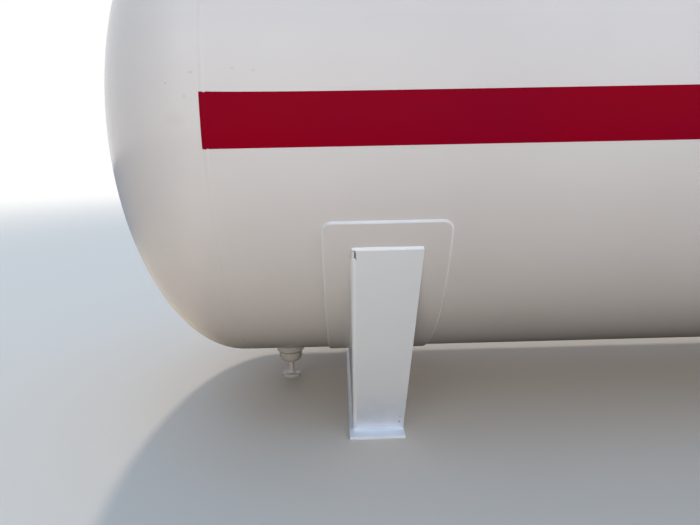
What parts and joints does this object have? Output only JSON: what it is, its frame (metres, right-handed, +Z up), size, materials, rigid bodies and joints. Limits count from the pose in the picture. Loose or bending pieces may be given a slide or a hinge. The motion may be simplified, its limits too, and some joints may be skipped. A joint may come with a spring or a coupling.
{
  "type": "horizontal pressure tank",
  "caption": "Horizontal welded steel pressure tank with dished heads, a red side stripe, two welded saddles, a bottom drain, and a manway and nozzles on top.",
  "frame": {"origin": "on the floor, under the middle of the tank's length and width", "axes": "+X along the tank towards the end with the sliding saddle, +Y across it, +Z up"},
  "size_m": [8.828, 2.4318, 3.234],
  "materials": {
    "tank_paint": "glossy off-white enamel, faintly dusty",
    "stripe_paint": "glossy deep red enamel",
    "saddle_paint": "semi-gloss pale grey-white enamel over welded plate",
    "fitting_steel": "semi-gloss grey-white enamel",
    "gasket_sheet": "dull dark fibre sheet"
  },
  "bodies": {
    "root": {"shell_left": "tank_paint", "shell_middle": "tank_paint", "shell_right": "tank_paint", "head_left": "tank_paint", "head_right": "tank_paint", "weld_head_left": "tank_paint", "weld_course_left": "tank_paint", "weld_course_right": "tank_paint", "weld_head_right": "tank_paint", "stripe_front": "stripe_paint", "stripe_back": "stripe_paint", "drain_neck": "tank_paint", "drain_reducer": "tank_paint", "drain_outlet_flange": "tank_paint", "gaskets": "gasket_sheet", "manway_pad": "tank_paint", "manway_neck": "tank_paint", "manway_flange": "tank_paint", "manway_cover": "tank_paint", "manway_handles": "fitting_steel", "manway_davit_bracket": "tank_paint", "manway_davit_arm": "fitting_steel", "manway_cover_ring": "fitting_steel", "vapour_nozzle": "tank_paint", "liquid_nozzle": "tank_paint", "gauge_nozzle": "tank_paint", "relief_nozzle": "tank_paint", "vapour_blind": "fitting_steel", "liquid_blind": "fitting_steel", "gauge_blind": "fitting_steel", "relief_blind": "fitting_steel", "left_lifting_lug": "tank_paint", "right_lifting_lug": "tank_paint", "left_base_plate": "saddle_paint", "left_web": "saddle_paint", "left_front_rib": "saddle_paint", "left_back_rib": "saddle_paint", "left_inner_ribs": "saddle_paint", "left_wear_plate": "tank_paint", "right_base_plate": "saddle_paint", "right_web": "saddle_paint", "right_front_rib": "saddle_paint", "right_back_rib": "saddle_paint", "right_inner_ribs": "saddle_paint", "right_wear_plate": "tank_paint"}
  },
  "joints": []
}
